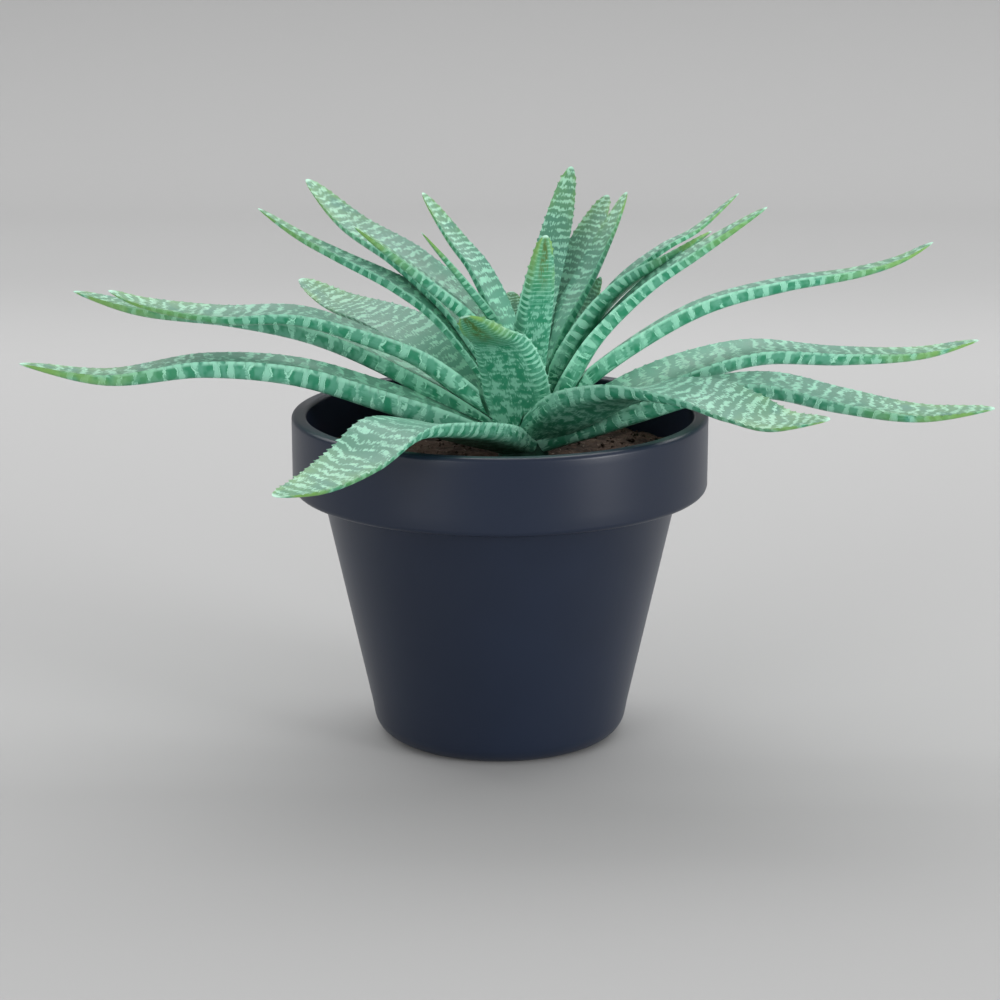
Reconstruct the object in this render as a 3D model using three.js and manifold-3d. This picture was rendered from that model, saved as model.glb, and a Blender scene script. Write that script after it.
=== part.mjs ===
// Potted aloe: a flared pot with a deep collar, a bed of soil, a short stem
// and a rosette of toothed, S-bent leaves. Millimetres, +Z up. The origin is
// the middle of the pot's base, and +Y points to the back of the plant.

import * as THREE from 'three';
import { mergeVertices } from 'three/addons/utils/BufferGeometryUtils.js';
import Module from 'manifold-3d';

const wasm = await Module();
wasm.setup();

// Pot
const RIM_RADIUS = 70;
const POT_HEIGHT = 111.5;
const COLLAR_DEPTH = 25.5;
const COLLAR_WALL = 5;
const COLLAR_EDGE_ROUND = 2;
const RIM_ROUND = 1.4;
const BODY_TOP_RADIUS = 60.3;
const BODY_FOOT_RADIUS = 41.6;
const BODY_WALL = 4;
const FOOT_ROUND = 8;
const FLOOR_THICKNESS = 5;
const LEDGE_RISE = 4.5;
const DRAIN_COUNT = 6;
const DRAIN_RADIUS = 3.5;
const DRAIN_CIRCLE = 22;
const POT_SEGMENTS = 48;

// Soil
const SOIL_TOP = 95;
const SOIL_GAP = 0.3;
const SOIL_LUMP = 0.8;
const SOIL_SEGMENTS = 48;
const SOIL_RINGS = [56, 46, 36, 26, 18];

// Stem and crown, on the rosette's own axis, a little off the pot's
const PLANT_X = 8;
const PLANT_Y = 2;
const STEM_RADIUS = 8.5;
const STEM_DEPTH = 22;
const CROWN_RADIUS = 8;
const CROWN_HEIGHT = 15;
const CROWN_TOP_RADIUS = 2;
const CROWN_GAP = 0.3;
const STEM_SEGMENTS = 20;

// Leaf section and outline
const CHANNEL = 0.2;
const KEEL_SHARE = 0.72;
const BASE_WIDTH_SHARE = 0.5;
const BASE_WIDTH_END = 0.26;
const BASE_THICK_SHARE = 0.65;
const BASE_THICK_END = 0.16;
const OUTLINE_POWER = 3;
const THICKNESS_FALL = 0.72;
const THICKNESS_POWER = 2.4;
const TWIST_END = 0.75;
const LEAF_GAP = 0.5;
const INNER_YIELD = 0.15;

// Teeth along both leaf margins
const TOOTH_HEIGHT = 0.9;
const TOOTH_ROOT = 1.9;
const TOOTH_LEAN = 0.5;
const TOOTH_START = 0.16;
const TOOTH_END = 0.965;
const PITCH_AT_BASE = 6.5;
const PITCH_AT_TIP = 4;
const BARE_STATIONS = 4;

// Each leaf: azimuth in degrees round the stem (0 is +X, 90 the back), width,
// thickness, roll of the upper face at base and tip in degrees, sideways
// sweep of the tip, and its spine as [reach, height over the soil] points. A
// leaf with room at the crown has a foot wider than BASE_WIDTH_SHARE.
const LEAVES = [
  { az: 183, wide: 18, thick: 8.2, roll: [0, 0], sweep: 0, foot: 0.8,
    spine: [[6, 7], [22, 12.5], [48, 21.5], [76, 30], [107, 32.5], [139, 29], [168, 34]] },
  { az: 162, wide: 17, thick: 7, roll: [0, 0], sweep: 0,
    spine: [[7, 9], [16, 14], [44, 28], [73, 38], [103, 42], [141, 43], [167, 48]] },
  { az: 175, wide: 18, thick: 5.5, roll: [-22, 6], sweep: 0,
    spine: [[6, 12], [22, 24], [35, 33], [49, 39], [76, 47], [103, 47], [130, 51], [141, 55]] },
  { az: 138, wide: 20, thick: 4.6, roll: [36, 12], sweep: 0,
    spine: [[6, 7], [25, 22], [43, 33], [63, 39], [90, 43], [108, 49]] },
  { az: 160, wide: 12, thick: 4.3, roll: [16, -4], sweep: 0,
    spine: [[6, 14], [16, 32], [30, 47], [45, 56], [67, 65], [81, 71], [97, 80]] },
  { az: 147, wide: 19, thick: 5, roll: [5, 5], sweep: 0,
    spine: [[6, 18], [20, 43], [47, 63], [71, 74], [90, 88]] },
  { az: 188, wide: 14, thick: 5, roll: [0, 0], sweep: 0,
    spine: [[7, 14], [8, 27], [11, 39], [18, 48], [33, 61], [57, 80]] },
  { az: 140, wide: 11, thick: 4, roll: [0, 0], sweep: 0,
    spine: [[3, 18], [8, 42], [20, 62], [30, 71], [45, 86]] },
  { az: 195, wide: 7, thick: 3, roll: [0, 0], sweep: 0,
    spine: [[3, 17], [5, 34], [9, 45], [20, 60], [35, 78]] },
  { az: 252, wide: 24, thick: 4.5, roll: [0, 0], sweep: -11, foot: 0.7,
    spine: [[6, 10], [8, 24], [12, 34], [17, 42], [24, 47], [30, 53]] },
  { az: 287, wide: 13, thick: 5, roll: [0, 0], sweep: 0,
    spine: [[3, 17], [5, 31], [11, 46], [18, 62], [23, 79]] },
  { az: 77, wide: 13, thick: 5, roll: [0, 0], sweep: -8,
    spine: [[3, 19], [9, 37], [20, 55], [30, 72], [39, 94]] },
  { az: 57, wide: 15, thick: 5, roll: [0, 0], sweep: 0,
    spine: [[7, 16], [24, 48], [36, 64], [54, 83]] },
  { az: 31, wide: 11, thick: 4.5, roll: [0, 0], sweep: 8,
    spine: [[4, 18], [13, 41], [25, 57], [38, 75], [46, 86]] },
  { az: 47, wide: 10, thick: 3, roll: [0, 0], sweep: 0,
    spine: [[8, 12], [16, 26], [25, 39], [33, 48], [39, 57]] },
  { az: 20, wide: 8, thick: 3, roll: [6, 6], sweep: 0,
    spine: [[7, 17], [22, 42], [35, 58], [51, 69], [62, 74], [78, 86]] },
  { az: -5, wide: 13, thick: 5.2, roll: [10, -4], sweep: 0,
    spine: [[8, 13], [16, 28], [25, 42.5], [42, 60], [57, 70.5], [71, 80], [80, 86]] },
  { az: 14, wide: 16, thick: 5.4, roll: [20, 5], sweep: 0,
    spine: [[7, 13], [14, 19.5], [34, 34], [62, 48.5], [90, 55], [119, 58.5], [134, 62.3], [146, 68]] },
  { az: 10, wide: 18, thick: 6.6, roll: [-18, 0], sweep: 0,
    spine: [[6, 8], [26, 15.5], [42, 22.5], [58, 28.5], [80, 33], [110, 31], [139, 31], [160, 35]] },
  { az: -12, wide: 18, thick: 6.8, roll: [10, -8], sweep: 0,
    spine: [[6, 4], [19, 9.5], [43, 19], [63, 26], [83, 28], [106, 24], [132, 21], [156, 24]] },
  { az: -50, wide: 24, thick: 5.4, roll: [30, -12], sweep: 33, foot: 0.6,
    spine: [[4, 8], [18, 16.5], [35, 25], [50, 30], [71, 31], [83, 28], [95, 25], [109, 27]] },
  { az: 245, wide: 25, thick: 5.8, roll: [-10, 4], sweep: -20, foot: 0.6,
    spine: [[5, 4], [25, 12], [56, 21], [81, 25], [99, 19], [119, 15], [134, 15]] },
  { az: 97, wide: 14, thick: 4, roll: [0, 0], sweep: 0,
    spine: [[7, 13], [15, 28], [24, 41], [34, 51]] },
  { az: 115, wide: 16, thick: 5, roll: [0, 0], sweep: 0,
    spine: [[8, 3], [35, 18], [65, 29], [96, 31]] },
  { az: 82, wide: 17, thick: 5, roll: [0, 0], sweep: 0,
    spine: [[8, 5], [35, 20], [66, 29], [100, 30]] },
  { az: 6, wide: 14, thick: 4.5, roll: [34, 22], sweep: 0,
    spine: [[7, 17], [16, 36], [26, 51], [36, 60], [49, 67], [63, 76]] },
];

// Small helpers

function lerp(a, b, t) {
  return a + (b - a) * t;
}

function smoothStep(edge, x) {
  const t = Math.min(Math.max(x / edge, 0), 1);
  return t * t * (3 - 2 * t);
}

function roundedCorner(cx, cy, radius, fromDegrees, toDegrees, steps) {
  const points = [];
  for (let i = 0; i <= steps; i++) {
    const angle = THREE.MathUtils.degToRad(lerp(fromDegrees, toDegrees, i / steps));
    points.push(new THREE.Vector2(cx + radius * Math.cos(angle), cy + radius * Math.sin(angle)));
  }
  return points;
}

// A closed body of revolution about Z: shared vertices merged, and the empty
// triangles on the axis left out.
function turned(profile, segments) {
  const geometry = new THREE.LatheGeometry(profile, segments);
  geometry.rotateX(Math.PI / 2);
  geometry.deleteAttribute('normal');
  geometry.deleteAttribute('uv');
  const merged = mergeVertices(geometry, 1e-4);
  const index = Array.from(merged.index.array);
  const whole = [];
  for (let i = 0; i < index.length; i += 3) {
    const corners = index.slice(i, i + 3);
    if (new Set(corners).size === 3) whole.push(...corners);
  }
  merged.setIndex(whole);
  return merged;
}

function toSolid(geometry) {
  return new wasm.Manifold(new wasm.Mesh({
    numProp: 3,
    vertProperties: new Float32Array(geometry.attributes.position.array),
    triVerts: new Uint32Array(geometry.index.array),
  }));
}

function fromSolid(solid) {
  const mesh = solid.getMesh();
  const geometry = new THREE.BufferGeometry();
  geometry.setAttribute('position', new THREE.BufferAttribute(mesh.vertProperties, 3));
  geometry.setIndex(new THREE.BufferAttribute(mesh.triVerts, 1));
  return geometry;
}

function named(name, geometry, color, roughness) {
  geometry.computeVertexNormals();
  const material = new THREE.MeshStandardMaterial({ color, roughness, metalness: 0 });
  const mesh = new THREE.Mesh(geometry, material);
  mesh.name = name;
  return mesh;
}

// Pot: one thick wall turned about Z, with a ring of drain holes in its floor.

const COLLAR_FOOT = POT_HEIGHT - COLLAR_DEPTH;

function bodyRadius(z) {
  return lerp(BODY_FOOT_RADIUS, BODY_TOP_RADIUS, z / COLLAR_FOOT);
}

function potProfile() {
  const inside = RIM_RADIUS - COLLAR_WALL;
  return [
    new THREE.Vector2(0, 0),
    ...roundedCorner(bodyRadius(FOOT_ROUND) - FOOT_ROUND, FOOT_ROUND, FOOT_ROUND, -90, -12, 4),
    new THREE.Vector2(bodyRadius(COLLAR_FOOT), COLLAR_FOOT),
    ...roundedCorner(RIM_RADIUS - COLLAR_EDGE_ROUND, COLLAR_FOOT + COLLAR_EDGE_ROUND,
      COLLAR_EDGE_ROUND, -90, 0, 3),
    ...roundedCorner(RIM_RADIUS - RIM_ROUND, POT_HEIGHT - RIM_ROUND, RIM_ROUND, 0, 90, 3),
    ...roundedCorner(inside + RIM_ROUND, POT_HEIGHT - RIM_ROUND, RIM_ROUND, 90, 180, 3),
    new THREE.Vector2(inside, COLLAR_FOOT + LEDGE_RISE),
    new THREE.Vector2(bodyRadius(COLLAR_FOOT) - BODY_WALL, COLLAR_FOOT),
    new THREE.Vector2(bodyRadius(FLOOR_THICKNESS) - BODY_WALL, FLOOR_THICKNESS),
    new THREE.Vector2(0, FLOOR_THICKNESS),
  ];
}

function makePot() {
  let solid = toSolid(turned(potProfile(), POT_SEGMENTS));
  for (let i = 0; i < DRAIN_COUNT; i++) {
    const angle = (i / DRAIN_COUNT) * 2 * Math.PI;
    const drill = new THREE.CylinderGeometry(DRAIN_RADIUS, DRAIN_RADIUS, 3 * FLOOR_THICKNESS, 16);
    drill.rotateX(Math.PI / 2);
    drill.translate(DRAIN_CIRCLE * Math.cos(angle), DRAIN_CIRCLE * Math.sin(angle), 0);
    drill.deleteAttribute('normal');
    drill.deleteAttribute('uv');
    solid = solid.subtract(toSolid(mergeVertices(drill, 1e-4)));
  }
  return named('pot', fromSolid(solid), 0x262d3b, 0.35);
}

// Soil: fills the pot up to its collar, uneven on top, with a plain hole that
// the stem stands in.

function soilLift(x, y) {
  const waves = Math.sin(x * 0.21 + 1.3) * Math.cos(y * 0.27 - 0.4) + 0.6 * Math.sin(x * 0.43 - y * 0.37);
  return SOIL_LUMP * waves * 0.6;
}

function makeSoil() {
  const inside = RIM_RADIUS - COLLAR_WALL - SOIL_GAP;
  const bottom = FLOOR_THICKNESS + SOIL_GAP;
  const profile = [
    new THREE.Vector2(0, bottom),
    new THREE.Vector2(bodyRadius(bottom) - BODY_WALL - SOIL_GAP, bottom),
    new THREE.Vector2(bodyRadius(COLLAR_FOOT) - BODY_WALL - SOIL_GAP, COLLAR_FOOT + SOIL_GAP),
    new THREE.Vector2(inside, COLLAR_FOOT + LEDGE_RISE + SOIL_GAP),
    new THREE.Vector2(inside, SOIL_TOP),
    ...SOIL_RINGS.map((radius) => new THREE.Vector2(radius, SOIL_TOP)),
  ];
  const bed = turned([...profile, new THREE.Vector2(0, SOIL_TOP)], SOIL_SEGMENTS);
  const place = bed.attributes.position;
  for (let i = 0; i < place.count; i++) {
    if (place.getZ(i) > SOIL_TOP - 1) {
      place.setZ(i, SOIL_TOP + soilLift(place.getX(i), place.getY(i)));
    }
  }
  const reach = STEM_RADIUS + SOIL_GAP;
  const hole = turned([
    new THREE.Vector2(0, SOIL_TOP - STEM_DEPTH - SOIL_GAP),
    new THREE.Vector2(reach, SOIL_TOP - STEM_DEPTH - SOIL_GAP),
    new THREE.Vector2(reach, SOIL_TOP + 5),
    new THREE.Vector2(0, SOIL_TOP + 5),
  ], STEM_SEGMENTS);
  hole.translate(PLANT_X, PLANT_Y, 0);
  return named('soil', fromSolid(toSolid(bed).subtract(toSolid(hole))), 0x4b3b31, 0.95);
}

// Stem: a short root stock in the soil under the cone that carries the leaves.

function stemGeometry(allowance) {
  const profile = [
    new THREE.Vector2(0, SOIL_TOP - STEM_DEPTH),
    new THREE.Vector2(STEM_RADIUS - 2, SOIL_TOP - STEM_DEPTH),
    new THREE.Vector2(STEM_RADIUS, SOIL_TOP - STEM_DEPTH + 3),
    new THREE.Vector2(STEM_RADIUS, SOIL_TOP + 1),
    new THREE.Vector2(CROWN_RADIUS + allowance, SOIL_TOP + 2.5 - allowance),
    new THREE.Vector2(CROWN_TOP_RADIUS + allowance, SOIL_TOP + CROWN_HEIGHT + allowance),
    new THREE.Vector2(0, SOIL_TOP + CROWN_HEIGHT + 1 + allowance),
  ];
  const stem = turned(profile, STEM_SEGMENTS);
  stem.translate(PLANT_X, PLANT_Y, 0);
  return stem;
}

function makeStem() {
  return named('stem', stemGeometry(0), 0x6f9a72, 0.6);
}

// Leaf: a section swept along the spine. Its two margins carry the teeth, and
// the lines beside them have a point level with each tooth.

const LEFT_MARGIN = 0;
const RIGHT_MARGIN = 2;
const SECTION = [
  [1, 0.5], [0, 0.5 - CHANNEL], [-1, 0.5], [-KEEL_SHARE, -0.5], [KEEL_SHARE, -0.5],
];

function halfWidth(leaf, s) {
  const flare = lerp(leaf.foot ?? BASE_WIDTH_SHARE, 1, smoothStep(BASE_WIDTH_END, s));
  return 0.5 * leaf.wide * flare * Math.sqrt(Math.max(1 - Math.pow(s, OUTLINE_POWER), 0));
}

function thickness(leaf, s) {
  const swell = lerp(BASE_THICK_SHARE, 1, smoothStep(BASE_THICK_END, s));
  const fall = 1 - THICKNESS_FALL * Math.pow(s, THICKNESS_POWER);
  return leaf.thick * fall * swell * Math.sqrt(Math.max(1 - Math.pow(s, 10), 0));
}

// Spine of a leaf, its length, and the frame at each share s of that length.
function makeSpine(leaf) {
  const azimuth = THREE.MathUtils.degToRad(leaf.az);
  const out = new THREE.Vector3(Math.cos(azimuth), Math.sin(azimuth), 0);
  const side = new THREE.Vector3(-Math.sin(azimuth), Math.cos(azimuth), 0);
  const last = leaf.spine[leaf.spine.length - 1][0];
  const points = leaf.spine.map(([reach, height]) => {
    const share = reach / last;
    return new THREE.Vector3(PLANT_X, PLANT_Y, SOIL_TOP + height)
      .addScaledVector(out, reach)
      .addScaledVector(side, leaf.sweep * share * share);
  });
  const curve = new THREE.CatmullRomCurve3(points, false, 'centripetal');
  curve.arcLengthDivisions = 400;

  function frameAt(s) {
    const along = curve.getTangentAt(s);
    const across = side.clone().addScaledVector(along, -side.dot(along)).normalize();
    const up = new THREE.Vector3().crossVectors(along, across);
    const roll = THREE.MathUtils.degToRad(lerp(leaf.roll[0], leaf.roll[1], smoothStep(TWIST_END, s)));
    return {
      origin: curve.getPointAt(s),
      along,
      across: across.clone().multiplyScalar(Math.cos(roll)).addScaledVector(up, -Math.sin(roll)),
      up: up.multiplyScalar(Math.cos(roll)).addScaledVector(across, Math.sin(roll)),
    };
  }
  return { length: curve.getLength(), frameAt };
}

// A point of the leaf's skin, moved outward by the allowance. With one, the
// margins also move out by a tooth and the base moves back, so that the whole
// leaf lies inside.
function sectionPoint(leaf, spine, s, line, allowance) {
  const frame = spine.frameAt(s);
  const [across, up] = SECTION[line];
  const margin = line === LEFT_MARGIN || line === RIGHT_MARGIN;
  const clear = allowance > 0 && margin ? allowance + TOOTH_HEIGHT * smoothStep(TOOTH_START, s) : allowance;
  return frame.origin.clone()
    .addScaledVector(frame.along, s === 0 ? -2 * allowance : 0)
    .addScaledVector(frame.across, across * halfWidth(leaf, s) + Math.sign(across) * clear)
    .addScaledVector(frame.up, up * thickness(leaf, s) + Math.sign(up) * allowance);
}

// Places of the teeth as shares of the length: wide apart at the base and
// close together at the tip.
function toothPlaces(length) {
  const places = [];
  let s = TOOTH_START;
  while (s < TOOTH_END) {
    places.push(s);
    s += lerp(PITCH_AT_BASE, PITCH_AT_TIP, s) / length;
  }
  return places;
}

// One line of the leaf from base to tip, as points with their share s.
function plainLine(leaf, spine, shares, line, allowance) {
  return shares.map((s) => ({ s, point: sectionPoint(leaf, spine, s, line, allowance) }));
}

function toothedLine(leaf, spine, shares, line) {
  const outward = Math.sign(SECTION[line][0]);
  const half = TOOTH_ROOT / 2 / spine.length;
  const row = [];
  for (const s of shares) {
    if (s < TOOTH_START || s >= TOOTH_END) {
      row.push({ s, point: sectionPoint(leaf, spine, s, line, 0) });
      continue;
    }
    const frame = spine.frameAt(s);
    const tip = sectionPoint(leaf, spine, s, line, 0)
      .addScaledVector(frame.across, outward * TOOTH_HEIGHT)
      .addScaledVector(frame.along, TOOTH_HEIGHT * TOOTH_LEAN);
    row.push({ s: s - half, point: sectionPoint(leaf, spine, s - half, line, 0) });
    row.push({ s, point: tip });
    row.push({ s: s + half, point: sectionPoint(leaf, spine, s + half, line, 0) });
  }
  return row;
}

// Triangles between two lines that run side by side with their own spacing.
function zip(a, b, triangles) {
  let i = 0;
  let j = 0;
  while (i < a.length - 1 || j < b.length - 1) {
    const stepA = j === b.length - 1 || (i < a.length - 1 && a[i + 1].s <= b[j + 1].s);
    if (stepA) {
      triangles.push(a[i].id, b[j].id, a[i + 1].id);
      i++;
    } else {
      triangles.push(a[i].id, b[j].id, b[j + 1].id);
      j++;
    }
  }
}

function leafGeometry(leaf, toothed, allowance) {
  const spine = makeSpine(leaf);
  const shares = [];
  for (let k = 0; k < BARE_STATIONS; k++) {
    shares.push((k / BARE_STATIONS) * (TOOTH_START - PITCH_AT_BASE / 2 / spine.length));
  }
  shares.push(...toothPlaces(spine.length), (TOOTH_END + 1) / 2);
  const positions = [];
  const keep = (point) => {
    positions.push(point.x, point.y, point.z);
    return positions.length / 3 - 1;
  };
  const lines = SECTION.map((_, line) => {
    const teeth = toothed && (line === LEFT_MARGIN || line === RIGHT_MARGIN);
    const make = teeth ? toothedLine : plainLine;
    return make(leaf, spine, shares, line, allowance).map(({ s, point }) => ({ s, id: keep(point) }));
  });
  const apex = keep(spine.frameAt(1).origin);

  const triangles = [];
  const count = lines.length;
  for (let line = 0; line < count; line++) {
    const next = lines[(line + 1) % count];
    zip(lines[line], next, triangles);
    triangles.push(lines[line][lines[line].length - 1].id, next[next.length - 1].id, apex);
  }
  const [left, middle, right, keelRight, keelLeft] = lines.map((line) => line[0].id);
  triangles.push(left, keelLeft, middle, middle, keelLeft, keelRight, middle, keelRight, right);

  const geometry = new THREE.BufferGeometry();
  geometry.setAttribute('position', new THREE.Float32BufferAttribute(positions, 3));
  geometry.setIndex(triangles);
  return geometry;
}

// Each leaf base ends at the crown's cone. Where two leaves press on each
// other there, the one further in or further back gives way.
function gathered(leaves) {
  const order = leaves.map((leaf, i) => i);
  const depth = (i) => Math.sin(THREE.MathUtils.degToRad(leaves[i].az)) + INNER_YIELD * leaves[i].spine[0][1];
  order.sort((a, b) => depth(a) - depth(b));
  const crown = toSolid(stemGeometry(CROWN_GAP));
  const solids = leaves.map((leaf) => toSolid(leafGeometry(leaf, true, 0)).subtract(crown));
  const cutters = leaves.map((leaf) => toSolid(leafGeometry(leaf, false, LEAF_GAP)));
  order.forEach((front, place) => {
    for (const behind of order.slice(place + 1)) {
      if (cutters[front].intersect(solids[behind]).volume() > 0) {
        solids[behind] = solids[behind].subtract(cutters[front]);
      }
    }
  });
  return solids.map((solid) => solid.decompose().sort((a, b) => b.volume() - a.volume())[0]);
}

const aloe = new THREE.Group();
aloe.add(makePot(), makeSoil(), makeStem());
gathered(LEAVES).forEach((solid, i) => {
  aloe.add(named(`leaf_${String(i + 1).padStart(2, '0')}`, fromSolid(solid), 0x6fa890, 0.5));
});

export default aloe;
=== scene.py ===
"""Potted aloe: fine leaves, crown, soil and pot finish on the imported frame, in a plain studio.

Lengths in the tables are millimetres, as in the part's own source, and become metres where a mesh is
made. The origin is the middle of the pot's base, +Z is up and +Y points to the back of the plant.
"""

import math
import random
from collections import namedtuple

import bmesh
import bpy
import numpy as np
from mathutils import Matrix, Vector
from mathutils.bvhtree import BVHTree


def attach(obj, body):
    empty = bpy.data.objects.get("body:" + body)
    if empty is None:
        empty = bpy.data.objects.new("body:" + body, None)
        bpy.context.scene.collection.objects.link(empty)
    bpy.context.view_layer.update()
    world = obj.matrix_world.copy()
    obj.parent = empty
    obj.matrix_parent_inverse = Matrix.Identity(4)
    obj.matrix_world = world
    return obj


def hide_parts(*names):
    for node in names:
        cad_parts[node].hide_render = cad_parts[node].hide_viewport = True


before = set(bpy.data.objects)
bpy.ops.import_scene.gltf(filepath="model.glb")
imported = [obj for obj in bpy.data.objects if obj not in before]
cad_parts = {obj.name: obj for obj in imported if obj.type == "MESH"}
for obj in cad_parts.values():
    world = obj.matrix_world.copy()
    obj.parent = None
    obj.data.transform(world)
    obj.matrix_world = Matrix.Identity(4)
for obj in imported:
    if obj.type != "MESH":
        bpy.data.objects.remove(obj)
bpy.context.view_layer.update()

bl_info = {
    "name": "Potted aloe",
    "version": (1, 0, 0),
    "blender": (4, 5, 0),
    "location": "3D View > Sidebar > Aloe",
    "description": "Fine leaves, crown, soil and pot finish for the packed potted aloe, with a plain studio",
    "category": "Add Mesh",
}

MM = 0.001
IMAGE_SIDE = 1000

# Pot, soil and crown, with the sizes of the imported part
RIM_RADIUS = 70.0
POT_HEIGHT = 111.5
COLLAR_DEPTH = 25.5
COLLAR_WALL = 5.0
COLLAR_EDGE_ROUND = 2.0
RIM_ROUND = 1.4
BODY_TOP_RADIUS = 60.3
BODY_FOOT_RADIUS = 41.6
BODY_WALL = 4.0
FOOT_ROUND = 8.0
FLOOR_THICKNESS = 5.0
LEDGE_RISE = 4.5
DRAIN_COUNT = 6
DRAIN_RADIUS = 3.5
DRAIN_CIRCLE = 22.0
SOIL_TOP = 95.0
PLANT_X = 8.0
PLANT_Y = 2.0
COLLAR_FOOT = POT_HEIGHT - COLLAR_DEPTH

# Finer pot: rounding under the collar, heights of its rings, the drill for its holes, and the angle from
# which edges stay sharp
CREASE_ROUND = 0.9
BODY_STEPS = (12.0, 30.0, 50.0, 70.0, 84.0)
COLLAR_STEPS = (92.0, 100.0, 108.0)
DRILL_SEGMENTS = 32
DRILL_ENDS = (-5.0, 15.0)
SHARP_ANGLE = math.radians(40)

# Soil: gap to the pot, steps round and outward, roughness, and the spread and sizes of its crumbs
SOIL_GAP = 0.3
SOIL_SEGMENTS = 120
SOIL_RINGS = 44
SOIL_ROUGHNESS = 0.35
CRUMB_EDGE = 0.985
CRUMB_SMALLEST = 0.35
CRUMB_RANGE = 0.9

# Leaf form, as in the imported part
CHANNEL = 0.2
BASE_WIDTH_SHARE = 0.5
BASE_WIDTH_END = 0.26
BASE_THICK_SHARE = 0.65
BASE_THICK_END = 0.16
OUTLINE_POWER = 3.0
THICKNESS_FALL = 0.72
THICKNESS_POWER = 2.4
TIP_POWER = 10
TWIST_END = 0.75
TOOTH_START = 0.1
TOOTH_END = 0.975
WIDEST_LEAF = 25.0

# Teeth: how much height and pitch vary, how the pitch changes from base to tip, in pitches how far the
# second margin's teeth lie from the first's, and rows in the bare stretch at the base
HEIGHT_VARIES = (0.6, 1.15)
PITCH_VARIES = (0.8, 1.2)
PITCH_CHANGE = (1.25, 0.85)
MARGIN_OFFSET = 0.4
BARE_END = TOOTH_START * 0.94
BARE_ROWS = 12

# Leaf maps: width of the skin in leaf widths, how the bands crowd towards the tip, how far each leaf's
# marks are moved on from the last one's, and where the underside's strip and the base's cap lie
SKIN_WIDTH = 0.36
BAND_POWER = 1.35
SKIN_SHIFT = 3.7
COUNT_SHIFT = 1.37
UNDER_SPREAD = 2.6
UNDER_START = 7
BASE_CAP_PLACE = (3.0, 8.3)

# Room that the leaf bases leave to each other and to the crown
LEAF_GAP = 0.5
TOOTH_CLEARANCE = 0.9
CROWN_GAP = 0.3
INNER_YIELD = 0.15

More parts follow.
